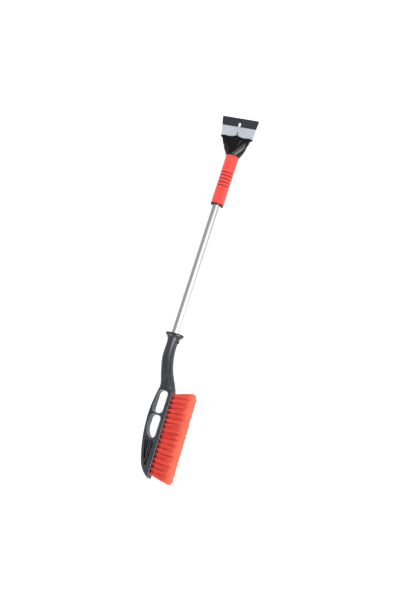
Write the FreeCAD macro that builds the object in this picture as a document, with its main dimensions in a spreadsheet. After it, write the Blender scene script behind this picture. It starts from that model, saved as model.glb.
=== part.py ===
"""Long-reach snow brush with an ice scraper.

The tool lies on its side. +Y runs along the pole to the scraper, +X is the side that the bristles
point to, and +Z is up. Inside each body, Y = 0 is the middle of the hand guard and X = Z = 0 is the
pole's axis; every body's Placement then moves it so that the whole tool is centred over the origin
and rests on Z = 0. All lengths are millimetres and all angles are degrees.
"""

import FreeCAD, Part
import math
import os

import Sketcher

# Driving dimensions: alias, value, meaning.
DIMENSIONS = [
    ("tube_radius", 11.0, "pole tube, outside radius"),
    ("tube_wall", 1.2, "pole tube, wall"),
    ("tube_low", -57.0, "lower end of the tube, inside the grip"),
    ("shoulder_y", 457.0, "neck of the scraper head, where foam and tube end"),
    ("foam_radius", 16.0, "foam sleeve, outside radius"),
    ("foam_low", 332.0, "lower end of the foam sleeve"),
    ("foam_clearance", 0.05, "radial gap of the sleeve on the tube"),
    ("foam_round", 2.0, "rounding of the sleeve's ends"),
    ("groove_first", 377.5, "centre of the lowest grip groove"),
    ("groove_pitch", 8.6, "distance between grip grooves"),
    ("groove_width", 3.6, "width of a grip groove"),
    ("groove_radius", 2.1, "radius of a groove's bottom"),
    ("ring_length", 3.6, "end ring below the foam"),
    ("guard_top", 3.5, "upper face of the hand guard"),
    ("frame_depth", 24.0, "brush frame, size along Z"),
    ("frame_round", 2.6, "brush frame, edge rounding"),
    ("frame_top", -129.0, "top of the brush frame"),
    ("back_x", 0.2, "outermost point of the frame's curved back, X"),
    ("back_y", -190.0, "outermost point of the frame's curved back, Y"),
    ("back_radius", 332.0, "radius of the frame's back"),
    ("nose_x", 19.3, "where the back turns into the nose, X"),
    ("nose_y", -301.0, "where the back turns into the nose, Y"),
    ("nose_radius", 60.0, "radius of the nose"),
    ("tip_x", 49.5, "frame tip, X"),
    ("tip_y", -335.0, "frame tip, Y"),
    ("face_x", 41.3, "bristle face, X at Y = 0"),
    ("face_tilt", 1.32, "lean of the bristle face"),
    ("rim", 6.5, "width of the frame's outer rim"),
    ("window_right", 34.0, "bristle side of both windows, X"),
    ("window_round", 9.0, "corner radius of the windows"),
    ("window_top", -132.5, "upper window, top"),
    ("bridge_y", -188.5, "centre of the bridge between the windows"),
    ("bridge_width", 4.0, "width of the bridge"),
    ("window_low", -245.0, "lower window, bottom"),
    ("pocket_top", -251.0, "blind pocket, top"),
    ("pocket_low", -307.0, "blind pocket, lower corner"),
    ("pocket_depth", 9.0, "depth of the blind pocket on each side"),
    ("pocket_rib", 2.4, "rib across the blind pocket, thickness"),
    ("tuft_count", 17, "tufts in a full row"),
    ("tuft_pitch", 11.4, "distance between tufts along a row"),
    ("tuft_first", -139.0, "first tuft, distance along the bristle face"),
    ("tuft_radius", 2.0, "radius of a tuft hole"),
    ("tuft_hole_depth", 8.0, "depth of a tuft hole"),
    ("tuft_length", 53.0, "free length of the bristles"),
    ("tuft_tip_radius", 3.9, "radius of a tuft's tip"),
    ("tuft_fan", 8.5, "sideways lean of the end tufts at their tips"),
    ("row_inner", 2.9, "inner rows, distance from the middle plane"),
    ("row_outer", 8.7, "outer rows, distance from the middle plane"),
    ("row_spread", 1.37, "spread of the rows at the tips"),
    ("staple_height", 2.0, "tuft staple, height"),
    ("staple_thickness", 0.4, "tuft staple, thickness"),
    ("rivet_y", -15.5, "collar rivet, Y"),
    ("rivet_head_radius", 3.4, "collar rivet, head radius"),
    ("rivet_radius", 1.6, "rivet and pin, shank radius"),
    ("spigot_length", 42.0, "scraper head, spigot inside the tube"),
    ("pin_y", 436.0, "head pin, Y"),
    ("blade_tilt", 13.0, "rise of the blade from the pole's axis"),
    ("blade_thickness", 2.6, "blade thickness"),
    ("blade_start", 42.0, "blade's root, distance from the neck"),
    ("blade_join", 73.0, "joint between blade and edge strip, distance from the neck"),
    ("blade_end", 94.3, "scraping edge, distance from the neck"),
    ("blade_half_root", 40.6, "blade half width at the head"),
    ("blade_half_join", 44.4, "blade half width at the joint"),
    ("blade_half_end", 47.6, "blade half width at the scraping edge"),
    ("edge_bevel", 1.6, "bevel of the scraping edge"),
    ("hole_along", 78.5, "hanging hole, distance from the neck"),
    ("hole_half_width", 3.6, "hanging hole, half width"),
    ("hole_half_length", 5.0, "hanging hole, half length"),
    ("head_plate", 7.0, "scraper head, thickness of its front plate"),
    ("rib_width", 2.2, "scraper head, rib thickness"),
]

# Sections of the hand guard and the grip: Y, centre X, half width along X, half depth along Z.
GRIP_SECTIONS = [
    (3.5, -0.6, 21.0, 13.2),
    (2.4, -0.7, 22.9, 14.9),
    (0.0, -0.8, 23.5, 15.4),
    (-2.4, -0.7, 22.7, 15.0),
    (-5.0, -0.5, 19.2, 14.2),
    (-9.0, -0.4, 15.8, 13.5),
    (-15.0, -0.3, 13.8, 13.1),
    (-25.0, -0.3, 13.2, 12.9),
    (-41.0, -0.2, 13.7, 13.1),
    (-59.0, 1.8, 14.8, 13.3),
    (-76.0, 6.0, 15.3, 13.2),
    (-94.0, 12.2, 16.6, 12.9),
    (-112.0, 20.0, 18.4, 12.6),
    (-128.0, 24.4, 20.9, 12.3),
    (-137.0, 25.0, 21.2, 12.0),
]

# Scraper head sections from the neck forward: distance from the neck, centre Z, half width, half depth.
HEAD_SECTIONS = [
    (0.0, 0.0, 17.3, 15.9),
    (6.0, 0.7, 21.0, 15.6),
    (14.0, 2.2, 26.0, 14.4),
    (27.0, 5.4, 30.6, 10.6),
    (42.0, 9.0, 35.6, 6.0),
]

HEAD_RIB_ANGLES = (-36, -20, 0, 20, 36)
GROOVES = 5

doc = FreeCAD.newDocument("snow_brush")
sheet = doc.addObject("Spreadsheet::Sheet", "Dims")
for row, (alias, value, meaning) in enumerate(DIMENSIONS, start=1):
    sheet.set(f"A{row}", meaning)
    sheet.set(f"B{row}", str(value))
    sheet.setAlias(f"B{row}", alias)
doc.recompute()

LOWEST = "Dims.foam_radius"
TUFT_END = (
    "(Dims.tuft_pitch * (Dims.tuft_count - 1) - Dims.tuft_first"
    " + Dims.tuft_fan + Dims.tuft_tip_radius)"
)
TIPS_X = (
    f"(Dims.face_x + {TUFT_END} * sin(Dims.face_tilt * 1 deg)"
    " + Dims.tuft_length * cos(Dims.face_tilt * 1 deg))"
)
MIDDLE_X = f"({TIPS_X} - Dims.blade_half_end) / 2"
MIDDLE_Y = "(Dims.tip_y + Dims.shoulder_y + Dims.blade_end * cos(Dims.blade_tilt * 1 deg)) / 2"
TILT = "Dims.blade_tilt"


def num(expression):
    """The value of an expression in the sheet's cells."""
    result = sheet.evalExpression(str(expression))
    return float(getattr(result, "Value", result))


def settle(thing):
    """Move a body from the pole's frame to the tool's frame."""
    thing.Placement = FreeCAD.Placement(
        FreeCAD.Vector(-num(MIDDLE_X), -num(MIDDLE_Y), num(LOWEST)), FreeCAD.Rotation()
    )
    thing.setExpression("Placement.Base.x", f"-({MIDDLE_X})")
    thing.setExpression("Placement.Base.y", f"-({MIDDLE_Y})")
    thing.setExpression("Placement.Base.z", LOWEST)
    return thing


def new_body(name):
    body = doc.addObject("PartDesign::Body", name)
    body.Label = name
    return settle(body)


def new_sketch(body, name, plane, offset=(0, 0, 0), turn_axis=(1, 0, 0), turn="0"):
    """A sketch on one of the body's own planes, moved by offset and turned about one of its axes."""
    sketch = body.newObject("Sketcher::SketchObject", name)
    support = next(f for f in body.Origin.OriginFeatures if f.Role == plane)
    sketch.AttachmentSupport = [(support, "")]
    sketch.MapMode = "FlatFace"
    sketch.AttachmentOffset = FreeCAD.Placement(
        FreeCAD.Vector(*[num(part) for part in offset]),
        FreeCAD.Rotation(FreeCAD.Vector(*turn_axis), num(turn)),
    )
    for letter, part in zip("xyz", offset):
        if isinstance(part, str):
            sketch.setExpression(f"AttachmentOffset.Base.{letter}", part)
    if turn != "0":
        sketch.setExpression("AttachmentOffset.Rotation.Angle", turn)
    return sketch


def bind(sketch, kind, where, expression):
    """A dimension whose value follows the sheet."""
    index = sketch.addConstraint(Sketcher.Constraint(kind, *where, num(expression)))
    sketch.setExpression(f"Constraints[{index}]", str(expression))


def arc_between(start, end, radius, turn):
    """The short arc from start to end; turn is 1 for a left bend and -1 for a right bend."""
    chord = end - start
    left = FreeCAD.Vector(-chord.y, chord.x, 0).normalize()
    rise = math.sqrt(max(radius**2 - (chord.Length / 2) ** 2, 0))
    centre = (start + end) / 2 + left * rise * turn
    first, last = (start, end) if turn > 0 else (end, start)
    low = math.atan2(first.y - centre.y, first.x - centre.x)
    high = math.atan2(last.y - centre.y, last.x - centre.x)
    if high < low:
        high += 2 * math.pi
    return Part.ArcOfCircle(Part.Circle(centre, FreeCAD.Vector(0, 0, 1), radius), low, high)


def draw(sketch, outline):
    """A closed outline. Each entry is (x, y, bend): bend is None for a straight side to the next
    point, or (radius, turn) for an arc. Every point and radius is bound to the sheet."""
    points = [FreeCAD.Vector(num(x), num(y), 0) for x, y, _ in outline]
    sides = []
    for index, (_, _, bend) in enumerate(outline):
        start = points[index]
        end = points[(index + 1) % len(points)]
        if bend is None:
            sides.append((sketch.addGeometry(Part.LineSegment(start, end)), 1, 2))
            continue
        radius, turn = bend
        side = sketch.addGeometry(arc_between(start, end, num(radius), turn))
        sides.append((side, 1, 2) if turn > 0 else (side, 2, 1))
    for index, (side, _, last) in enumerate(sides):
        following, first, _ = sides[(index + 1) % len(sides)]
        sketch.addConstraint(Sketcher.Constraint("Coincident", side, last, following, first))
    for (x, y, bend), (side, first, _) in zip(outline, sides):
        bind(sketch, "DistanceX", (-1, 1, side, first), x)
        bind(sketch, "DistanceY", (-1, 1, side, first), y)
        if bend is not None:
            bind(sketch, "Radius", (side,), bend[0])
    return sketch


def draw_circle(sketch, x, y, radius):
    place = FreeCAD.Vector(num(x), num(y), 0)
    circle = sketch.addGeometry(Part.Circle(place, FreeCAD.Vector(0, 0, 1), num(radius)))
    bind(sketch, "DistanceX", (-1, 1, circle, 3), x)
    bind(sketch, "DistanceY", (-1, 1, circle, 3), y)
    bind(sketch, "Radius", (circle,), radius)
    return sketch


def draw_ellipse(sketch, x, y, half_x, half_y):
    """An ellipse whose long axis lies along the sketch's own X and whose seam is on the -X side."""
    centre = FreeCAD.Vector(num(x), num(y), 0)
    long_end = centre - FreeCAD.Vector(num(half_x), 0, 0)
    short_end = centre + FreeCAD.Vector(0, num(half_y), 0)
    ellipse = sketch.addGeometry(Part.Ellipse(long_end, short_end, centre))
    sketch.exposeInternalGeometry(ellipse)
    bind(sketch, "DistanceX", (-1, 1, ellipse, 3), x)
    bind(sketch, "DistanceY", (-1, 1, ellipse, 3), y)
    bind(sketch, "Distance", (ellipse + 1,), f"2 * ({half_x})")
    bind(sketch, "Distance", (ellipse + 2,), f"2 * ({half_y})")
    sketch.addConstraint(Sketcher.Constraint("Horizontal", ellipse + 1))
    return sketch


def rounded_corners(left, right, low, high, radius):
    """A rectangle with rounded corners, anticlockwise."""
    bend = (radius, 1)
    return [
        (f"{left} + {radius}", low, None),
        (f"{right} - {radius}", low, bend),
        (right, f"{low} + {radius}", None),
        (right, f"{high} - {radius}", bend),
        (f"{right} - {radius}", high, None),
        (f"{left} + {radius}", high, bend),
        (left, f"{high} - {radius}", None),
        (left, f"{low} + {radius}", bend),
    ]


def pad(body, name, sketch, length, both_ways=False, backwards=False):
    feature = body.newObject("PartDesign::Pad", name)
    feature.Profile = sketch
    feature.setExpression("Length", length)
    feature.Midplane = both_ways
    feature.Reversed = backwards
    doc.recompute()
    return feature


def pocket(body, name, sketch, length, both_ways=False, backwards=False):
    """A cut that has to take material away."""
    before = body.Shape.Volume
    feature = body.newObject("PartDesign::Pocket", name)
    feature.Profile = sketch
    feature.setExpression("Length", length)
    feature.Midplane = both_ways
    feature.Reversed = backwards
    doc.recompute()
    if feature.Shape.Volume > before - 1:
        raise RuntimeError(f"{name} cuts nothing")
    return feature


def loft(body, name, sketches):
    feature = body.newObject("PartDesign::AdditiveLoft", name)
    feature.Profile = sketches[0]
    feature.Sections = sketches[1:]
    doc.recompute()
    return feature


def fillet(body, name, base, radius, wanted):
    """Round the edges of base that wanted accepts."""
    edges = [f"Edge{i}" for i, edge in enumerate(base.Shape.Edges, start=1) if wanted(edge)]
    feature = body.newObject("PartDesign::Fillet", name)
    feature.Base = (base, edges)
    feature.setExpression("Radius", radius)
    doc.recompute()
    return feature


def on_level(edge, level, axis):
    """True for an edge that lies in the plane where axis has that value, on either side of zero."""
    box = edge.BoundBox
    low, high = getattr(box, f"{axis}Min"), getattr(box, f"{axis}Max")
    return high - low < 0.01 and abs(abs(low) - level) < 0.01


def brush_frame(body):
    """The D-shaped frame that carries the bristles, with its two windows and blind pocket."""
    slope = "tan(Dims.face_tilt * 1 deg)"
    outline = [
        ("Dims.back_x + 7", "Dims.frame_top", ("290", 1)),
        ("Dims.back_x", "Dims.back_y", ("Dims.back_radius", 1)),
        ("Dims.nose_x", "Dims.nose_y", ("Dims.nose_radius", 1)),
        ("Dims.tip_x", "Dims.tip_y", None),
        (f"Dims.face_x - (Dims.tip_y + 8) * {slope}", "Dims.tip_y + 8", None),
        (f"Dims.face_x - (Dims.frame_top - 3) * {slope}", "Dims.frame_top - 3", None),
        ("Dims.face_x - 1", "Dims.frame_top + 1", None),
    ]
    sketch = draw(new_sketch(body, "FrameOutline", "XY_Plane"), outline)
    slab = pad(body, "FrameSlab", sketch, "Dims.frame_depth", both_ways=True)
    level = num("Dims.frame_depth / 2")
    fillet(body, "FrameRound", slab, "Dims.frame_round", lambda edge: on_level(edge, level, "Z"))


def frame_openings(body):
    left = "Dims.back_x + Dims.rim"
    radius = "Dims.window_round"
    upper = rounded_corners(
        left, "Dims.window_right", "Dims.bridge_y + Dims.bridge_width / 2", "Dims.window_top", radius
    )
    sketch = draw(new_sketch(body, "UpperWindow", "XY_Plane"), upper)
    pocket(body, "UpperWindowCut", sketch, "Dims.frame_depth + 8", both_ways=True)
    lower = rounded_corners(
        left, "Dims.window_right + 1", "Dims.window_low", "Dims.bridge_y - Dims.bridge_width / 2", radius
    )
    lower[0] = (f"{left} + 15", "Dims.window_low", None)
    lower[7] = (left, "Dims.window_low + 30", ("34", 1))
    sketch = draw(new_sketch(body, "LowerWindow", "XY_Plane"), lower)
    pocket(body, "LowerWindowCut", sketch, "Dims.frame_depth + 8", both_ways=True)
    right = "Dims.window_right + 1.5"
    pocket_outline = [
        (f"{right} - 23.5", "Dims.pocket_top", ("Dims.back_radius - Dims.rim", 1)),
        (f"{right} - 6", "Dims.pocket_low", ("4", 1)),
        (right, "Dims.pocket_low + 3", None),
        (right, "Dims.pocket_top - 3", ("3", 1)),
        (f"{right} - 3", "Dims.pocket_top", None),
    ]
    for name, side in (("UpperPocket", 1), ("LowerPocket", -1)):
        plane = new_sketch(body, name, "XY_Plane", offset=(0, 0, f"Dims.frame_depth / 2 * {side}"))
        sketch = draw(plane, pocket_outline)
        pocket(body, f"{name}Cut", sketch, "Dims.pocket_depth", backwards=side < 0)
    rib = [
        (f"{right} - 13", "Dims.pocket_top + 1", None),
        (f"{right} - 8", "Dims.pocket_low + 6", None),
        (f"{right} - 8 + Dims.pocket_rib", "Dims.pocket_low + 6", None),
        (f"{right} - 13 + Dims.pocket_rib", "Dims.pocket_top + 1", None),
    ]
    sketch = draw(new_sketch(body, "PocketRib", "XY_Plane"), rib)
    pad(body, "PocketRibPad", sketch, "Dims.frame_depth - 4", both_ways=True)


def grip(body):
    """The flared hand guard and the oval S-curved handle below it, down to the frame."""
    sections = []
    for index, (y, x, half_x, half_z) in enumerate(GRIP_SECTIONS):
        plane = new_sketch(body, f"GripSection{index}", "XZ_Plane", offset=(0, 0, -y))
        sections.append(draw_ellipse(plane, x, 0, half_x, half_z))
    loft(body, "Grip", sections)


def tuft_holes(body):
    """Staggered rows of blind holes in the bristle face."""
    for name, start, count, levels in (
        ("HoleFull", "Dims.tuft_first", "Dims.tuft_count", ("Dims.row_outer", "-Dims.row_inner")),
        (
            "HoleShort",
            "Dims.tuft_first - Dims.tuft_pitch / 2",
            "Dims.tuft_count - 1",
            ("Dims.row_inner", "-Dims.row_outer"),
        ),
    ):
        sketch = new_sketch(
            body, name, "YZ_Plane", offset=(0, 0, "Dims.face_x"), turn_axis=(0, 1, 0), turn="Dims.face_tilt"
        )
        for level in levels:
            draw_circle(sketch, start, level, "Dims.tuft_radius")
        cut = pocket(body, f"{name}Cut", sketch, "Dims.tuft_hole_depth")
        pattern = body.newObject("PartDesign::LinearPattern", f"{name}Pattern")
        pattern.Originals = [cut]
        pattern.Direction = (sketch, ["H_Axis"])
        pattern.Reversed = True
        pattern.setExpression("Occurrences", count)
        pattern.setExpression("Length", f"Dims.tuft_pitch * ({count} - 1)")
        body.Tip = pattern
        doc.recompute()


def tube_socket(body):
    sketch = new_sketch(body, "SocketCircle", "XZ_Plane", offset=(0, 0, "-(Dims.guard_top + 1)"))
    draw_circle(sketch, 0, 0, "Dims.tube_radius")
    depth = "Dims.guard_top + 1 - Dims.tube_low"
    pocket(body, "Socket", sketch, depth, backwards=True)
    sketch = new_sketch(body, "RivetHole", "YZ_Plane", offset=(0, 0, "20"))
    draw_circle(sketch, "Dims.rivet_y", 0, "Dims.rivet_radius")
    pocket(body, "RivetHoleCut", sketch, "20")


def brush_body():
    body = new_body("brush_body")
    brush_frame(body)
    grip(body)
    frame_openings(body)
    tuft_holes(body)
    tube_socket(body)
    return body


def revolved(name, outline):
    """A body turned about the pole's axis; the outline's points are (radius, Y)."""
    body = new_body(name)
    sketch = draw(new_sketch(body, f"{name}_profile", "XY_Plane"), outline)
    feature = body.newObject("PartDesign::Revolution", f"{name}_turned")
    feature.Profile = sketch
    feature.ReferenceAxis = (sketch, ["V_Axis"])
    feature.Angle = 360
    doc.recompute()
    return body


def foam_grip():
    inner = "Dims.tube_radius + Dims.foam_clearance"
    outer = "Dims.foam_radius"
    rounding = ("Dims.foam_round", 1)
    outline = [
        (inner, "Dims.foam_low", None),
        (f"{outer} - Dims.foam_round", "Dims.foam_low", rounding),
        (outer, "Dims.foam_low + Dims.foam_round", None),
    ]
    for index in range(GROOVES):
        centre = f"Dims.groove_first + {index} * Dims.groove_pitch"
        outline.append((outer, f"{centre} - Dims.groove_width / 2", ("Dims.groove_radius", -1)))
        outline.append((outer, f"{centre} + Dims.groove_width / 2", None))
    outline += [
        (outer, "Dims.shoulder_y - Dims.foam_round", rounding),
        (f"{outer} - Dims.foam_round", "Dims.shoulder_y", None),
        (inner, "Dims.shoulder_y", None),
    ]
    return revolved("foam_grip", outline)


def grip_end_ring():
    inner = "Dims.tube_radius + Dims.foam_clearance"
    outer = "Dims.foam_radius - 0.4"
    low = "Dims.foam_low - Dims.ring_length"
    outline = [
        (inner, low, None),
        (f"{outer} - 1.2", low, ("1.2", 1)),
        (outer, f"{low} + 1.2", None),
        (outer, "Dims.foam_low", None),
        (inner, "Dims.foam_low", None),
    ]
    return revolved("grip_end_ring", outline)


def bored_tube():
    """The pole: a tube with a rivet hole near its foot and a pin hole through its top."""
    inner = "Dims.tube_radius - Dims.tube_wall"
    outline = [
        (inner, "Dims.tube_low", None),
        ("Dims.tube_radius", "Dims.tube_low", None),
        ("Dims.tube_radius", "Dims.shoulder_y", None),
        (inner, "Dims.shoulder_y", None),
    ]
    body = revolved("pole_tube", outline)
    sketch = new_sketch(body, "TubeRivetHole", "YZ_Plane", offset=(0, 0, "Dims.tube_radius + 1"))
    draw_circle(sketch, "Dims.rivet_y", 0, "Dims.rivet_radius")
    pocket(body, "TubeRivetCut", sketch, "Dims.tube_radius")
    sketch = new_sketch(body, "TubePinHole", "YZ_Plane")
    draw_circle(sketch, "Dims.pin_y", 0, "Dims.rivet_radius")
    pocket(body, "TubePinCut", sketch, "2 * Dims.tube_radius + 2", both_ways=True)
    return body


def round_bar(name, spans):
    """A body of stacked cylinders along X: each span is (X start, length, radius) at one Y."""
    body = new_body(name)
    for index, (start, length, radius, y) in enumerate(spans):
        sketch = new_sketch(body, f"{name}_circle{index}", "YZ_Plane", offset=(0, 0, start))
        draw_circle(sketch, y, 0, radius)
        pad(body, f"{name}_pad{index}", sketch, length)
    return body


def collar_rivet():
    """A rivet that holds the tube in the grip, seen as a low button below the guard."""
    inside = "Dims.tube_radius - Dims.tube_wall - 1.5"
    return round_bar(
        "collar_rivet",
        [
            (inside, f"14.2 - ({inside})", "Dims.rivet_radius", "Dims.rivet_y"),
            ("13.55", "1.9", "Dims.rivet_head_radius", "Dims.rivet_y"),
        ],
    )


def head_pin():
    """A cross pin through tube and spigot, under the foam."""
    length = "2 * Dims.tube_radius - 0.3"
    return round_bar("head_pin", [(f"-({length}) / 2", length, "Dims.rivet_radius", "Dims.pin_y")])


def blade_plane(body, name, lift="0"):
    """A sketch plane through the neck that rises with the blade; its Y is the distance from the neck."""
    return new_sketch(
        body, name, "XY_Plane", offset=(0, "Dims.shoulder_y", lift), turn_axis=(1, 0, 0), turn=TILT
    )


def mirrored(outline):
    """An outline's right half and its mirror image, anticlockwise from the middle of the near side."""
    left = []
    for index in range(len(outline) - 1, -1, -1):
        x, y, _ = outline[index]
        bend = outline[index - 1][2] if index > 0 else None
        left.append((f"-({x})", y, bend))
    return outline + left


def scraper_head():
    """The fan-shaped head: neck, ribbed body, lobed front plate and the spigot inside the tube."""
    body = new_body("scraper_head")
    sections = []
    for index, (along, z, half_x, half_z) in enumerate(HEAD_SECTIONS):
        plane = new_sketch(
            body, f"HeadSection{index}", "XZ_Plane", offset=(0, 0, f"-(Dims.shoulder_y + {along})")
        )
        sections.append(draw_ellipse(plane, 0, z, half_x, half_z))
    loft(body, "HeadFan", sections)
    plate = mirrored(
        [
            ("30", "26", None),
            ("34.2", "36", ("9", -1)),
            ("41.6", "44.5", None),
            ("41.6", "48", None),
            ("36", "48.4", None),
            ("31", "49.5", ("43", -1)),
        ]
    )
    plate.insert(6, ("0", "53.4", ("43", -1)))
    plate[7] = (plate[7][0], plate[7][1], None)
    sketch = draw(blade_plane(body, "PlateOutline"), plate)
    pad(body, "HeadPlate", sketch, "Dims.head_plate", both_ways=True)
    for index, angle in enumerate(HEAD_RIB_ANGLES):
        plane = new_sketch(
            body,
            f"RibProfile{index}",
            "YZ_Plane",
            offset=("Dims.shoulder_y", 0, 0),
            turn_axis=(0, 1, 0),
            turn=str(angle),
        )
        outline = [("3", "6"), ("42", "8"), ("47", "13.4"), ("43", "15.8"), ("3", "16.8")]
        draw(plane, [(along, height, None) for along, height in outline])
        pad(body, f"Rib{index}", plane, "Dims.rib_width", both_ways=True)
    spike = blade_plane(body, "SpikeOutline", "Dims.blade_thickness / 2")
    draw(spike, [("-1.6", "48", None), ("1.6", "48", None), ("0.5", "61", None), ("-0.5", "61", None)])
    pad(body, "Spike", spike, "1.6")
    slot = draw(
        blade_plane(body, "BladeSlot"),
        [
            ("-Dims.blade_half_root", "Dims.blade_start", None),
            ("Dims.blade_half_root", "Dims.blade_start", None),
            ("Dims.blade_half_join", "Dims.blade_join", None),
            ("-Dims.blade_half_join", "Dims.blade_join", None),
        ],
    )
    pocket(body, "BladeSlotCut", slot, "Dims.blade_thickness", both_ways=True)
    spigot = new_sketch(body, "SpigotCircle", "XZ_Plane", offset=(0, 0, "-(Dims.shoulder_y + 1)"))
    draw_circle(spigot, 0, 0, "Dims.tube_radius - Dims.tube_wall")
    pad(body, "Spigot", spigot, "Dims.spigot_length + 1")
    cross = new_sketch(body, "HeadPinHole", "YZ_Plane")
    draw_circle(cross, "Dims.pin_y", 0, "Dims.rivet_radius")
    pocket(body, "HeadPinCut", cross, "2 * Dims.tube_radius", both_ways=True)
    return body


def scraper_blade():
    body = new_body("scraper_blade")
    outline = [
        ("-Dims.blade_half_root", "Dims.blade_start", None),
        ("Dims.blade_half_root", "Dims.blade_start", None),
        ("Dims.blade_half_join", "Dims.blade_join", None),
        ("-Dims.blade_half_join", "Dims.blade_join", None),
    ]
    sketch = draw(blade_plane(body, "BladeOutline"), outline)
    pad(body, "Blade", sketch, "Dims.blade_thickness", both_ways=True)
    return body


def blade_edge():
    """The stiff edge strip with its bevelled scraping edge and the hanging hole."""
    body = new_body("blade_edge")
    corner = "2.5"
    outline = [
        ("-Dims.blade_half_join", "Dims.blade_join", None),
        ("Dims.blade_half_join", "Dims.blade_join", None),
        ("Dims.blade_half_end", f"Dims.blade_end - {corner}", (corner, 1)),
        (f"Dims.blade_half_end - {corner}", "Dims.blade_end", None),
        (f"-Dims.blade_half_end + {corner}", "Dims.blade_end", (corner, 1)),
        ("-Dims.blade_half_end", f"Dims.blade_end - {corner}", None),
    ]
    sketch = draw(blade_plane(body, "EdgeOutline"), outline)
    pad(body, "EdgeStrip", sketch, "Dims.blade_thickness", both_ways=True)
    hole = rounded_corners(
        "-Dims.hole_half_width",
        "Dims.hole_half_width",
        "Dims.hole_along - Dims.hole_half_length",
        "Dims.hole_along + Dims.hole_half_length",
        "(Dims.hole_half_width - 0.1)",
    )
    sketch = draw(blade_plane(body, "HangingHole"), hole)
    pocket(body, "HangingHoleCut", sketch, "Dims.blade_thickness + 2", both_ways=True)
    wedge = new_sketch(
        body,
        "EdgeBevel",
        "YZ_Plane",
        offset=("Dims.shoulder_y", 0, 0),
        turn_axis=(0, 0, 1),
        turn=TILT,
    )
    draw(
        wedge,
        [
            ("Dims.blade_end - 5", "-Dims.blade_thickness / 2", None),
            ("Dims.blade_end + 1", "-Dims.blade_thickness / 2 - 0.5", None),
            ("Dims.blade_end + 1", "-Dims.blade_thickness / 2 + Dims.edge_bevel", None),
        ],
    )
    pocket(body, "EdgeBevelCut", wedge, "2 * Dims.blade_half_end + 4", both_ways=True)
    return body


def tuft_rows():
    """For each row: its level on the face and the distances of its tufts along the face."""
    count = int(num("Dims.tuft_count"))
    first, pitch = num("Dims.tuft_first"), num("Dims.tuft_pitch")
    full = [first - pitch * i for i in range(count)]
    short = [first - pitch * (i + 0.5) for i in range(count - 1)]
    inner, outer = num("Dims.row_inner"), num("Dims.row_outer")
    return [(outer, full), (inner, short), (-inner, full), (-outer, short)]


def face_frame():
    """The placement whose X runs along the bristle face, Y is up and Z points out of the face."""
    turn = FreeCAD.Rotation(FreeCAD.Vector(0, 0, 1), num("Dims.face_tilt"))
    along_face = FreeCAD.Vector(0, 1, 0)
    up = FreeCAD.Vector(0, 0, 1)
    outward = FreeCAD.Vector(1, 0, 0)
    onto_face = FreeCAD.Rotation(along_face, up, outward, "ZXY")
    origin = FreeCAD.Vector(num("Dims.face_x"), 0, 0)
    return FreeCAD.Placement(origin, turn.multiply(onto_face))


def tuft(along, level, middle):
    """One bundle of bristles: straight in its hole, then a cone that leans and spreads."""
    lean = (along - middle) / abs(num("Dims.tuft_first") - middle) * num("Dims.tuft_fan")
    bottom = num("Dims.staple_height - Dims.tuft_hole_depth")
    root_radius = num("Dims.tuft_radius - 0.1")
    tip_level = level * num("Dims.row_spread")
    stations = [
        (along, level, bottom, root_radius),
        (along, level, 0.0, root_radius),
        (along + lean, tip_level, num("Dims.tuft_length"), num("Dims.tuft_tip_radius")),
    ]
    rings = []
    for x, y, height, radius in stations:
        circle = Part.makeCircle(radius, FreeCAD.Vector(x, y, height), FreeCAD.Vector(0, 0, 1))
        rings.append(Part.Wire([circle]))
    return Part.makeLoft(rings, True, True)


def bristle_rows():
    """Each row of tufts is one piece with a separate solid for every tuft."""
    onto_face = face_frame()
    middle = num("Dims.tuft_first - Dims.tuft_pitch * (Dims.tuft_count - 1) / 2")
    rows = []
    for number, (level, places) in enumerate(tuft_rows(), start=1):
        solids = [tuft(along, level, middle) for along in places]
        for solid in solids:
            solid.transformShape(onto_face.toMatrix())
        row = doc.addObject("Part::Feature", f"bristle_row_{number}")
        row.Label = row.Name
        row.Shape = Part.makeCompound(solids)
        rows.append(settle(row))
    return rows


def tuft_staples():
    """The flat wire anchors at the bottom of the tuft holes."""
    onto_face = face_frame()
    length = num("2 * Dims.tuft_radius - 0.1")
    boxes = []
    for level, places in tuft_rows():
        for along in places:
            staple = doc.addObject("Part::Box", "Staple")
            staple.setExpression("Length", "2 * Dims.tuft_radius - 0.1")
            staple.setExpression("Width", "Dims.staple_thickness")
            staple.setExpression("Height", "Dims.staple_height")
            corner = FreeCAD.Vector(
                along - length / 2, level - num("Dims.staple_thickness") / 2, -num("Dims.tuft_hole_depth")
            )
            staple.Placement = onto_face.multiply(FreeCAD.Placement(corner, FreeCAD.Rotation()))
            boxes.append(staple)
    group = doc.addObject("Part::Compound", "tuft_staples")
    group.Label = group.Name
    group.Links = boxes
    return settle(group)


def check(parts):
    """Stop before writing anything if an object failed or a shape is empty or not valid."""
    doc.recompute()
    failed = [o.Name for o in doc.Objects if "Invalid" in o.State or "Error" in o.State]
    if failed:
        raise RuntimeError(f"these objects failed: {failed}")
    for part in parts:
        if part.Shape.isNull() or not part.Shape.isValid():
            raise RuntimeError(f"{part.Label} has no valid shape")


def main():
    parts = [
        brush_body(),
        *bristle_rows(),
        tuft_staples(),
        bored_tube(),
        collar_rivet(),
        grip_end_ring(),
        foam_grip(),
        scraper_head(),
        head_pin(),
        scraper_blade(),
        blade_edge(),
    ]
    check(parts)
    os.makedirs("parts", exist_ok=True)
    whole = FreeCAD.BoundBox()
    for part in parts:
        part.Shape.exportStep(f"parts/{part.Label}.step")
        whole.add(part.Shape.BoundBox)
        print(f"{part.Label}: {len(part.Shape.Solids)} solids, {part.Shape.Volume:.0f} mm3")
    print(whole)


main()
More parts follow.
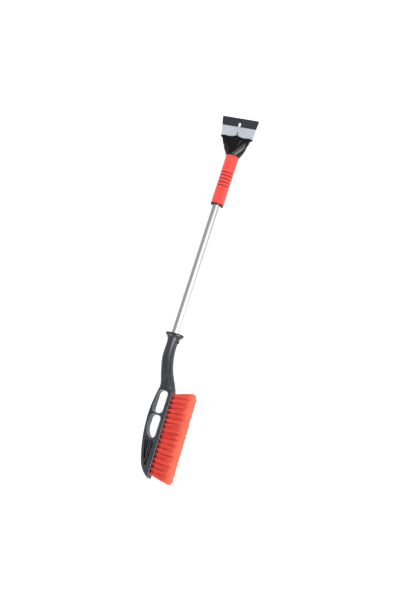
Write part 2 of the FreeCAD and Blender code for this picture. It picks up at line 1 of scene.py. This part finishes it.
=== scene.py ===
"""The looks of a long snow brush with an ice scraper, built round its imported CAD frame.

Lengths are metres, and a size in millimetres is multiplied by MM. ORIGIN is where the pole's axis
crosses the middle of the hand guard. Places on the tool are measured from there: X towards the
bristles, Y along the pole to the scraper, Z up.
"""

import math
import random

import bmesh
import bpy
from mathutils import Matrix, Vector, noise


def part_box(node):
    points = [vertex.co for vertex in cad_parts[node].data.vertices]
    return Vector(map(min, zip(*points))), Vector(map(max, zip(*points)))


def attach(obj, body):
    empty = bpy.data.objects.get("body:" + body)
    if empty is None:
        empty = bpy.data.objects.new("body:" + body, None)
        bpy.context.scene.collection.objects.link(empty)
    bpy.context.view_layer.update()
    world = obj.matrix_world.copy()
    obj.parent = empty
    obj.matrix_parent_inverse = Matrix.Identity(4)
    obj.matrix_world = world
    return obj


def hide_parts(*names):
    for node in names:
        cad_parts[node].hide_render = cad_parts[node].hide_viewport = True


MM = 0.001
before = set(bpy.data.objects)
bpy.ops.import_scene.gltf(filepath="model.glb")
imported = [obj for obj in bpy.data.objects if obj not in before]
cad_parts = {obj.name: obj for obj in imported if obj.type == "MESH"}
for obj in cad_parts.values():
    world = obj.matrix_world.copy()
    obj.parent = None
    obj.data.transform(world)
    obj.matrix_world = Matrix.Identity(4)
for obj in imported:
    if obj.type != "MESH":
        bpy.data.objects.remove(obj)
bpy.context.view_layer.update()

# The tube's lower end is that far below the middle of the hand guard, in its socket.
TUBE_FOOT = 57 * MM
TUBE_LOW, TUBE_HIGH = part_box("pole_tube")
ORIGIN = Vector(
    (
        (TUBE_LOW.x + TUBE_HIGH.x) / 2,
        TUBE_LOW.y + TUBE_FOOT,
        (TUBE_LOW.z + TUBE_HIGH.z) / 2,
    )
)

# The view: where the camera stands as seen from the pole, and how the pole leans in the picture.
CAMERA_DISTANCE = 2.4
CAMERA_SIDE = math.radians(23)
CAMERA_TILT = math.radians(9.5)
POLE_LEAN = math.radians(17.77)
AIM_RIGHT = 0.0600
AIM_UP = 0.0811
SENSOR = 24
LENS = 40.8

# The tufts, as the CAD places them on the bristle face.
FACE_X = 41.3 * MM
FACE_LEAN = math.radians(1.32)
TUFT_COUNT = 17
TUFT_PITCH = 11.4 * MM
TUFT_FIRST = -139 * MM
TUFT_FAN = 8.5 * MM
ROW_LEVELS = (8.7 * MM, 2.9 * MM, -2.9 * MM, -8.7 * MM)
ROW_SPREAD = 1.37

# The filaments of a tuft. The tips' lean is how far the leaning face carries them along X.
FILAMENTS = 120
FILAMENT_RADIUS = 0.4 * MM
TIPS_LEAN = 7.7 * MM
TRIM_MARGIN = 0.5 * MM
TIPS_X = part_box("bristle_row_1")[1].x - ORIGIN.x
FILAMENT_LENGTH = TIPS_X - FACE_X - TIPS_LEAN - TRIM_MARGIN
ROOT_DEPTH = 4 * MM
ROOT_RADIUS = 1.75 * MM
TIP_SPREAD = (6.9 * MM, 4.6 * MM)
TIP_LIMIT = 15.4 * MM
TAPER = 0.25
RINGS = 5
SIDES = 3
GOLDEN_ANGLE = math.pi * (3 - math.sqrt(5))

# How unevenly the filaments lie, in millimetres along the face and up.
TUFT_STRAY = (0.7, 0.5)
TIP_STRAY = (0.55, 0.45)
BOW = (0.45, 0.4)
TUFT_TRIM = 0.5
FILAMENT_TRIM = 1.6

# How much the colour differs from tuft to tuft and from filament to filament.
TUFT_SHADE = 0.16
FILAMENT_SHADE = 0.22

# The foam sleeve. Its grooves are where the CAD has them.
FOAM_BORE = 11.1 * MM
FOAM_INSET = 0.15 * MM
FOAM_ROUND = 2.2 * MM
FOAM_RINGS = 260
FOAM_SIDES = 96
FOAM_UNEVEN = 0.12 * MM
FOAM_UNEVEN_SCALE = 90
GROOVES = 5
GROOVE_FIRST = 377.5 * MM
GROOVE_PITCH = 8.6 * MM
GROOVE_HALF = 1.9 * MM
GROOVE_DEPTH = 1.3 * MM
# How strongly the grooves get painted shade.
GROOVE_PAINTED_SHADE = 1.6

# The mouldings, as the size of a voxel and the rounds of smoothing.
BRUSH_VOXEL, BRUSH_SMOOTHING = 0.8 * MM, 5
HEAD_VOXEL, HEAD_SMOOTHING = 0.6 * MM, 4
WELD = 1e-6

# The raised oval on the grip.
PAD_CENTRE = Vector((12.4, -98, 6)) * MM
PAD_HALF_SIZES = (4.6 * MM, 15 * MM)
PAD_HEIGHT = 1.2 * MM
PAD_TURN = math.radians(22)

# The painted shade on the brush body's blind pocket and nose sides: where it starts along Y and
# below the side face, and how far it takes to come in.
PAINTED_SHADE_TOP = -248 * MM
PAINTED_SHADE_TOP_BLEND = 4 * MM
PAINTED_SHADE_LEVEL = 10.5 * MM
PAINTED_SHADE_LEVEL_BLEND = 3 * MM

# Noise runs from about 0.3 to 0.7.
NOISE_LOW = 0.3
NOISE_HIGH = 0.7

FLOOR_HALF = 12


def srgb(red, green, blue):
    """A linear colour from its 0 to 255 screen values."""

    def linear(value):
        part = value / 255
        return part / 12.92 if part <= 0.04045 else ((part + 0.055) / 1.055) ** 2.4

    return (linear(red), linear(green), linear(blue), 1.0)


# ---------------------------------------------------------------- materials


class Surface:
    """A Principled material with a few helpers for procedural detail."""

    def __init__(self, name, colour, roughness, metallic=0.0):
        self.material = bpy.data.materials.new(name)
        self.material.use_nodes = True
        self.nodes = self.material.node_tree.nodes
        self.links = self.material.node_tree.links
        self.shader = self.nodes["Principled BSDF"]
        self.shader.inputs["Base Color"].default_value = colour
        self.shader.inputs["Roughness"].default_value = roughness
        self.shader.inputs["Metallic"].default_value = metallic
        self.place = self.nodes.new("ShaderNodeTexCoord").outputs["Object"]

    def noise(self, scale, stretch=(1, 1, 1), detail=4):
        """Noise of that scale per metre, stretched along the axes."""
        mapping = self.nodes.new("ShaderNodeMapping")
        mapping.inputs["Scale"].default_value = stretch
        self.links.new(self.place, mapping.inputs["Vector"])
        texture = self.nodes.new("ShaderNodeTexNoise")
        texture.inputs["Scale"].default_value = scale
        texture.inputs["Detail"].default_value = detail
        self.links.new(mapping.outputs["Vector"], texture.inputs["Vector"])
        return texture.outputs["Fac"]

    def ramp(self, source, first, last, low=NOISE_LOW, high=NOISE_HIGH):
        """Colours from first to last as source goes from low to high."""
        ramp = self.nodes.new("ShaderNodeValToRGB")
        ramp.color_ramp.elements[0].position = low
        ramp.color_ramp.elements[0].color = first
        ramp.color_ramp.elements[1].position = high
        ramp.color_ramp.elements[1].color = last
        self.links.new(source, ramp.inputs["Fac"])
        return ramp.outputs["Color"]

    def span(self, source, low, high, to_low, to_high):
        """Maps source from low..high to to_low..to_high."""
        node = self.nodes.new("ShaderNodeMapRange")
        node.inputs["From Min"].default_value = low
        node.inputs["From Max"].default_value = high
        node.inputs["To Min"].default_value = to_low
        node.inputs["To Max"].default_value = to_high
        self.links.new(source, node.inputs["Value"])
        return node.outputs["Result"]

    def mix(self, factor, first, second):
        """first where factor is 0 and second where it is 1; each is a colour or an output."""
        node = self.nodes.new("ShaderNodeMix")
        node.data_type = "RGBA"
        self.links.new(factor, node.inputs["Factor"])
        colour_sockets = [socket for socket in node.inputs if socket.type == "RGBA"]
        for value, socket in zip((first, second), colour_sockets):
            if isinstance(value, tuple):
                socket.default_value = value
            else:
                self.links.new(value, socket)
        return next(socket for socket in node.outputs if socket.type == "RGBA")

    def attribute(self, name):
        """The values of the mesh attribute of that name."""
        node = self.nodes.new("ShaderNodeAttribute")
        node.attribute_name = name
        return node.outputs["Fac"]

    def colour(self, output):
        self.links.new(output, self.shader.inputs["Base Color"])

    def rough(self, source, low, high):
        roughness = self.span(source, NOISE_LOW, NOISE_HIGH, low, high)
        self.links.new(roughness, self.shader.inputs["Roughness"])

    def bump(self, heights, strength=0.5):
        """Bumps from (source, depth) pairs, one on the other."""
        normal = None
        for source, depth in heights:
            node = self.nodes.new("ShaderNodeBump")
            node.inputs["Strength"].default_value = strength
            node.inputs["Distance"].default_value = depth
            self.links.new(source, node.inputs["Height"])
            if normal is not None:
                self.links.new(normal, node.inputs["Normal"])
            normal = node.outputs["Normal"]
        self.links.new(normal, self.shader.inputs["Normal"])


def charcoal_plastic():
    """Satin moulded plastic with a fine grain and faint flow streaks, and painted shade in the
    pocket.
    """
    surface = Surface("charcoal_plastic", srgb(66, 70, 75), 0.42)
    recess_painted_shade = surface.attribute("recess_painted_shade")
    streaks = surface.noise(38, (1, 0.3, 1))
    plain = surface.ramp(streaks, srgb(34, 37, 41), srgb(50, 54, 59), low=0.35)
    # Painted shade: near-black in the blind pocket and on the nose's sides.
    surface.colour(surface.mix(recess_painted_shade, plain, srgb(8, 9, 11)))
    surface.rough(surface.noise(90), 0.24, 0.36)
    grain = surface.noise(1900, detail=2)
    surface.bump([(grain, 0.08 * MM), (surface.noise(60), 0.3 * MM)], 0.35)
    return surface.material


def gloss_black():
    """Gloss black plastic with light handling scratches."""
    surface = Surface("gloss_black", srgb(20, 21, 24), 0.16)
    surface.colour(surface.ramp(surface.noise(30), srgb(4, 4, 6), srgb(10, 11, 13)))
    surface.rough(surface.noise(160, (1, 0.2, 1)), 0.2, 0.36)
    waves = surface.noise(70, detail=2)
    scratches = surface.noise(900, (1, 0.05, 1))
    surface.bump([(waves, 0.4 * MM), (scratches, 0.04 * MM)], 0.25)
    surface.shader.inputs["Specular IOR Level"].default_value = 0.35
    return surface.material


def blade_grey():
    """The glossy grey blade, a little cloudy, with fine scratches along the pole."""
    surface = Surface("blade_grey", srgb(172, 176, 186), 0.2)
    clouds = surface.noise(22)
    surface.colour(surface.ramp(clouds, srgb(163, 168, 178), srgb(184, 187, 196), high=0.75))
    surface.rough(surface.noise(400, (1, 0.06, 1)), 0.16, 0.34)
    surface.bump([(surface.noise(1500, (1, 0.03, 1)), 0.03 * MM)], 0.3)
    return surface.material


def edge_black():
    """The dark edge strip, with the same fine scratches."""
    surface = Surface("edge_black", srgb(38, 41, 52), 0.22)
    surface.colour(surface.ramp(surface.noise(26), srgb(34, 36, 46), srgb(44, 47, 58)))
    surface.rough(surface.noise(500, (1, 0.05, 1)), 0.18, 0.4)
    surface.bump([(surface.noise(1300, (1, 0.03, 1)), 0.04 * MM)], 0.3)
    return surface.material


def aluminium():
    """Satin anodised tube with drawing lines along its length."""
    surface = Surface("drawn_aluminium", srgb(214, 215, 218), 0.35, metallic=1.0)
    lines = surface.noise(700, (1, 0.004, 1), detail=3)
    surface.colour(surface.ramp(lines, srgb(205, 206, 210), srgb(222, 223, 226)))
    surface.rough(lines, 0.3, 0.44)
    surface.bump([(lines, 0.03 * MM)], 0.3)
    return surface.material


def foam_red():
    """Closed-cell foam: matt, finely pitted and a little mottled; painted shade darkens the
    grooves.
    """
    surface = Surface("foam_red", srgb(250, 70, 60), 0.85)
    groove = surface.attribute("groove")
    plain = surface.ramp(surface.noise(120), srgb(236, 52, 44), srgb(252, 78, 66))
    # Painted shade: the grooves go dark red.
    surface.colour(surface.mix(groove, plain, srgb(122, 12, 16)))
    surface.rough(surface.noise(300), 0.75, 0.95)
    pits = surface.noise(2600, detail=2)
    surface.bump([(pits, 0.25 * MM), (surface.noise(420), 0.2 * MM)])
    surface.shader.inputs["Sheen Weight"].default_value = 0.25
    return surface.material


def rubber_black():
    surface = Surface("rubber_black", srgb(26, 18, 18), 0.6)
    surface.colour(surface.ramp(surface.noise(150), srgb(20, 14, 14), srgb(36, 28, 28)))
    surface.rough(surface.noise(200), 0.5, 0.75)
    surface.bump([(surface.noise(2200, detail=2), 0.1 * MM)], 0.4)
    return surface.material


def bristle_red():
    """Filaments that differ a little in colour and pale towards their tips."""
    surface = Surface("bristle_red", srgb(245, 60, 50), 0.45)
    shade = surface.attribute("shade")
    along = surface.attribute("along")
    body = surface.ramp(shade, srgb(236, 40, 32), srgb(255, 94, 80), low=0.0, high=1.0)
    tip = surface.span(along, 0.55, 1.0, 0.0, 0.75)
    surface.colour(surface.mix(tip, body, srgb(255, 112, 84)))
    surface.rough(surface.noise(500), 0.38, 0.55)
    surface.shader.inputs["Subsurface Weight"].default_value = 0.3
    surface.shader.inputs["Subsurface Radius"].default_value = (1.0, 0.35, 0.25)
    surface.shader.inputs["Subsurface Scale"].default_value = 4 * MM
    return surface.material


def bare_steel(name, colour, roughness):
    surface = Surface(name, colour, roughness, metallic=1.0)
    surface.rough(surface.noise(600), roughness - 0.05, roughness + 0.15)
    surface.bump([(surface.noise(900), 0.03 * MM)], 0.3)
    return surface.material


def black_paint():
    surface = Surface("black_paint", srgb(34, 35, 38), 0.35)
    surface.colour(surface.ramp(surface.noise(300), srgb(28, 29, 32), srgb(46, 47, 50)))
    surface.rough(surface.noise(400), 0.28, 0.45)
    surface.bump([(surface.noise(1200), 0.03 * MM)], 0.3)
    return surface.material


def pale_floor():
    surface = Surface("pale_floor", (0.6, 0.6, 0.6, 1), 0.9)
    surface.rough(surface.noise(8), 0.85, 0.95)
    surface.shader.inputs["Emission Color"].default_value = (1, 1, 1, 1)
    surface.shader.inputs["Emission Strength"].default_value = 0.72
    return surface.material


# ---------------------------------------------------------------- pieces


def give(obj, material):
    obj.data.materials.clear()
    obj.data.materials.append(material)


def new_piece(name, mesh, material, node):
    """A piece that rides on the tool and stands for a CAD node."""
    obj = bpy.data.objects.new(name, mesh)
    bpy.context.scene.collection.objects.link(obj)
    give(obj, material)
    mesh.shade_smooth()
    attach(obj, "root")
    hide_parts(node)
    return obj


def baked_mesh(obj):
    """The mesh that obj's modifiers make."""
    graph = bpy.context.evaluated_depsgraph_get()
    return bpy.data.meshes.new_from_object(obj.evaluated_get(graph))


def moulded(node, voxel, smoothing):
    """The node's shape with the soft edges of a moulding, as a new mesh."""
    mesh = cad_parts[node].data.copy()
    shell = bmesh.new()
    shell.from_mesh(mesh)
    bmesh.ops.remove_doubles(shell, verts=shell.verts, dist=WELD)
    shell.to_mesh(mesh)
    shell.free()
    temporary = bpy.data.objects.new(f"{node}_temporary", mesh)
    bpy.context.scene.collection.objects.link(temporary)
    remesh = temporary.modifiers.new("Remesh", "REMESH")
    remesh.mode = "VOXEL"
    remesh.voxel_size = voxel
    smooth = temporary.modifiers.new("Smooth", "SMOOTH")
    smooth.factor = 0.5
    smooth.iterations = smoothing
    result = baked_mesh(temporary)
    bpy.data.objects.remove(temporary)
    return result


def swell(mesh, centre, half_sizes, height, turn):
    """Raises a soft oval pad on the side of mesh that faces up."""
    rotate = Matrix.Rotation(-turn, 2)
    for vertex in mesh.vertices:
        offset = vertex.co - centre
        if offset.z < 0:
            continue
        flat = rotate @ offset.xy
        reach = math.hypot(flat.x / half_sizes[0], flat.y / half_sizes[1])
        if reach < 1:
            vertex.co.z += height * (1 - reach**2) ** 2


def paint_recess_shade(mesh):
    """Marks the blind pocket and the sides of the nose, which get painted shade, a darker colour.
    """
    values = []
    for vertex in mesh.vertices:
        place = vertex.co - ORIGIN
        below = min(1.0, max(0.0, (PAINTED_SHADE_TOP - place.y) / PAINTED_SHADE_TOP_BLEND))
        inside = min(1.0, max(0.0, (PAINTED_SHADE_LEVEL - abs(place.z)) / PAINTED_SHADE_LEVEL_BLEND))
        values.append(below * inside)
    mesh.attributes.new("recess_painted_shade", "FLOAT", "POINT").data.foreach_set("value", values)


def brush_body():
    mesh = moulded("brush_body", BRUSH_VOXEL, BRUSH_SMOOTHING)
    swell(mesh, ORIGIN + PAD_CENTRE, PAD_HALF_SIZES, PAD_HEIGHT, PAD_TURN)
    # The blind pocket and the nose's sides get painted shade.
    paint_recess_shade(mesh)
    new_piece("brush_body_moulding", mesh, charcoal_plastic(), "brush_body")


def scraper_head():
    mesh = moulded("scraper_head", HEAD_VOXEL, HEAD_SMOOTHING)
    new_piece("scraper_head_moulding", mesh, gloss_black(), "scraper_head")


def lathe(profile, sides):
    """A surface of revolution about the pole's axis from (radius, Y) points, closed on itself."""
    verts, faces = [], []
    for radius, y in profile:
        for step in range(sides):
            angle = 2 * math.pi * step / sides
            verts.append((radius * math.cos(angle), y, radius * math.sin(angle)))
    for ring in range(len(profile)):
        here = ring * sides
        there = (ring + 1) % len(profile) * sides
        for step in range(sides):
            after = (step + 1) % sides
            faces.append((here + step, here + after, there + after, there + step))
    return verts, faces


def foam_profile():
    """The sleeve's section as (radius, Y) points, and how much painted shade each point gets."""
    box_low, box_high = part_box("foam_grip")
    low, high = box_low.y - ORIGIN.y, box_high.y - ORIGIN.y
    radius = (box_high.x - box_low.x) / 2 - FOAM_INSET
    profile, groove_painted_shade = [(FOAM_BORE, low)], [0.0]
    for step in range(FOAM_RINGS + 1):
        y = low + (high - low) * step / FOAM_RINGS
        edge = min(y - low, high - y)
        rounding = 0.0
        if edge < FOAM_ROUND:
            rounding = FOAM_ROUND - math.sqrt(FOAM_ROUND**2 - (FOAM_ROUND - edge) ** 2)
        nearest = min(abs(y - GROOVE_FIRST - GROOVE_PITCH * index) for index in range(GROOVES))
        groove = max(0.0, 1 - (nearest / GROOVE_HALF) ** 2)
        profile.append((radius - rounding - GROOVE_DEPTH * groove, y))
        groove_painted_shade.append(min(1.0, groove * GROOVE_PAINTED_SHADE))
    profile.append((FOAM_BORE, high))
    groove_painted_shade.append(0.0)
    return profile, groove_painted_shade


def foam_grip():
    """The foam sleeve: soft ends, five rings pressed in, and a slightly uneven skin."""
    profile, groove_painted_shade = foam_profile()
    verts, faces = lathe(profile, FOAM_SIDES)
    shaped = []
    for index, point in enumerate(verts):
        place = Vector(point)
        if 0 < index // FOAM_SIDES < len(profile) - 1:
            out = Vector((place.x, 0, place.z)).normalized()
            place += out * FOAM_UNEVEN * noise.noise(place * FOAM_UNEVEN_SCALE)
        shaped.append(place + ORIGIN)
    mesh = bpy.data.meshes.new("foam_grip_sleeve")
    mesh.from_pydata(shaped, [], faces)
    values = [groove_painted_shade[index // FOAM_SIDES] for index in range(len(shaped))]
    # The groove attribute carries the grooves' painted shade.
    mesh.attributes.new("groove", "FLOAT", "POINT").data.foreach_set("value", values)
    mesh.update()
    piece = new_piece("foam_grip_sleeve", mesh, foam_red(), "foam_grip")


def filament(root, tip, bow, radius):
    """The rings of one filament from inside its hole to its tip."""
    along = (tip - root).normalized()
    side = along.cross(Vector((0, 0, 1))).normalized()
    across = along.cross(side)
    rings = []
    for ring in range(RINGS):
        part = ring / (RINGS - 1)
        point = root.lerp(tip, part) + bow * math.sin(math.pi * part)
        size = radius * (1 - TAPER * ring / (RINGS - 1))
        for step in range(SIDES):
            angle = 2 * math.pi * step / SIDES
            rings.append(point + size * (math.cos(angle) * side + math.sin(angle) * across))
    return rings


def filament_faces(base):
    """The faces of the filament whose first vertex is base, with both ends closed."""
    faces = []
    for ring in range(RINGS - 1):
        here = base + ring * SIDES
        for step in range(SIDES):
            first, second = here + step, here + (step + 1) % SIDES
            faces.append((first, second, second + SIDES, first + SIDES))
    last = base + (RINGS - 1) * SIDES
    faces.append(tuple(base + step for step in reversed(range(SIDES))))
    faces.append(tuple(last + step for step in range(SIDES)))
    return faces


def stray(dice, amounts):
    """A random shift along the face and up, with those standard deviations in millimetres."""
    along, up = amounts
    return Vector((0, dice.gauss(0, along), dice.gauss(0, up))) * MM


def bristle_row(number, level, offset, count, dice):
    """One row of tufts as separate filaments."""
    face = Matrix.Translation(ORIGIN + Vector((FACE_X, 0, 0)))
    onto_face = face @ Matrix.Rotation(FACE_LEAN, 4, "Z")
    middle = TUFT_FIRST - TUFT_PITCH * (TUFT_COUNT - 1) / 2
    verts, faces, shades, alongs = [], [], [], []
    for index in range(count):
        along = TUFT_FIRST - TUFT_PITCH * (index + offset)
        lean = (along - middle) / (TUFT_FIRST - middle) * TUFT_FAN
        tuft_shade = dice.uniform(-TUFT_SHADE, TUFT_SHADE)
        tuft_length = FILAMENT_LENGTH + dice.uniform(-TUFT_TRIM, 0.0) * MM
        tuft_stray = stray(dice, TUFT_STRAY)
        for strand in range(FILAMENTS):
            reach = math.sqrt((strand + 0.5) / FILAMENTS)
            angle = strand * GOLDEN_ANGLE
            disc = Vector((0, math.cos(angle), math.sin(angle))) * reach
            root = Vector((-ROOT_DEPTH, along, level)) + disc * ROOT_RADIUS
            spread = Vector((0, disc.y * TIP_SPREAD[0], disc.z * TIP_SPREAD[1]))
            spread *= dice.uniform(0.8, 1.1)
            length = tuft_length - dice.random() ** 2 * FILAMENT_TRIM * MM
            tip = Vector((length, along + lean, level * ROW_SPREAD)) + spread + tuft_stray
            tip += stray(dice, TIP_STRAY)
            tip.z = max(-TIP_LIMIT, min(TIP_LIMIT, tip.z))
            bow = stray(dice, BOW)
            radius = FILAMENT_RADIUS * dice.uniform(0.85, 1.1)
            faces += filament_faces(len(verts))
            verts += [onto_face @ point for point in filament(root, tip, bow, radius)]
            shade = min(1.0, max(0.0, 0.5 + tuft_shade + dice.gauss(0, FILAMENT_SHADE)))
            shades += [shade] * SIDES * RINGS
            alongs += [ring / (RINGS - 1) for ring in range(RINGS) for _ in range(SIDES)]
    mesh = bpy.data.meshes.new(f"bristles_{number}")
    mesh.from_pydata(verts, [], faces)
    for name, values in (("shade", shades), ("along", alongs)):
        mesh.attributes.new(name, "FLOAT", "POINT").data.foreach_set("value", values)
    mesh.update()
    return mesh


def bristles():
    """Four rows; the second and the fourth are half a pitch further on and one tuft shorter."""
    dice = random.Random(17)
    material = bristle_red()
    for number, level in enumerate(ROW_LEVELS, start=1):
        offset, count = (0.0, TUFT_COUNT) if number % 2 else (0.5, TUFT_COUNT - 1)
        mesh = bristle_row(number, level, offset, count, dice)
        new_piece(f"bristles_{number}", mesh, material, f"bristle_row_{number}")


def carried_over():
    """Better materials for the CAD nodes whose shapes stay."""
    finishes = {
        "pole_tube": aluminium(),
        "grip_end_ring": rubber_black(),
        "scraper_blade": blade_grey(),
        "blade_edge": edge_black(),
        "collar_rivet": black_paint(),
        "head_pin": bare_steel("pin_steel", srgb(190, 190, 192), 0.35),
        "tuft_staples": bare_steel("staple_wire", srgb(200, 198, 190), 0.4),
    }
    for node, material in finishes.items():
        give(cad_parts[node], material)


# ---------------------------------------------------------------- stage


def floor():
    mesh = bpy.data.meshes.new("floor")
    signs = ((-1, -1), (1, -1), (1, 1), (-1, 1))
    corners = [(x * FLOOR_HALF, y * FLOOR_HALF, 0) for x, y in signs]
    mesh.from_pydata(corners, [], [(0, 1, 2, 3)])
    obj = bpy.data.objects.new("floor", mesh)
    bpy.context.scene.collection.objects.link(obj)
    give(obj, pale_floor())


def softbox(name, place, size, power):
    """A square white area light that points at the middle of the tool."""
    lamp = bpy.data.lights.new(name, "AREA")
    lamp.size = size
    lamp.energy = power
    obj = bpy.data.objects.new(name, lamp)
    obj.location = place
    obj.rotation_euler = (-Vector(place)).to_track_quat("-Z", "Y").to_euler()
    bpy.context.scene.collection.objects.link(obj)


def lights():
    softbox("key", (1.9, -0.6, 2.6), size=2.0, power=130)
    softbox("fill", (-1.8, -1.6, 2.0), size=1.2, power=34)
    world = bpy.data.worlds.new("studio")
    bpy.context.scene.world = world
    world.use_nodes = True
    background = world.node_tree.nodes["Background"]
    background.inputs["Color"].default_value = (1, 1, 1, 1)
    background.inputs["Strength"].default_value = 0.36


def camera():
    """The camera is off the pole's side, below its middle, and rolled so that the pole leans."""
    toward = Vector(
        (
            math.sin(CAMERA_SIDE) * math.cos(CAMERA_TILT),
            -math.sin(CAMERA_TILT),
            math.cos(CAMERA_SIDE) * math.cos(CAMERA_TILT),
        )
    )
    pole = Vector((0, 1, 0))
    pole_up = (pole - toward * pole.dot(toward)).normalized()
    pole_right = pole_up.cross(toward)
    up = math.cos(POLE_LEAN) * pole_up - math.sin(POLE_LEAN) * pole_right
    right = math.sin(POLE_LEAN) * pole_up + math.cos(POLE_LEAN) * pole_right
    lens = bpy.data.cameras.new("camera")
    lens.sensor_fit = "VERTICAL"
    lens.sensor_height = SENSOR
    lens.lens = LENS
    obj = bpy.data.objects.new("camera", lens)
    place = ORIGIN + toward * CAMERA_DISTANCE + right * AIM_RIGHT + up * AIM_UP
    turn = Matrix((right, up, toward)).transposed()
    obj.matrix_world = Matrix.Translation(place) @ turn.to_4x4()
    bpy.context.scene.collection.objects.link(obj)
    bpy.context.scene.camera = obj


camera()
lights()
floor()
brush_body()
bristles()
foam_grip()
scraper_head()
carried_over()
bpy.context.scene.view_settings.view_transform = "Standard"
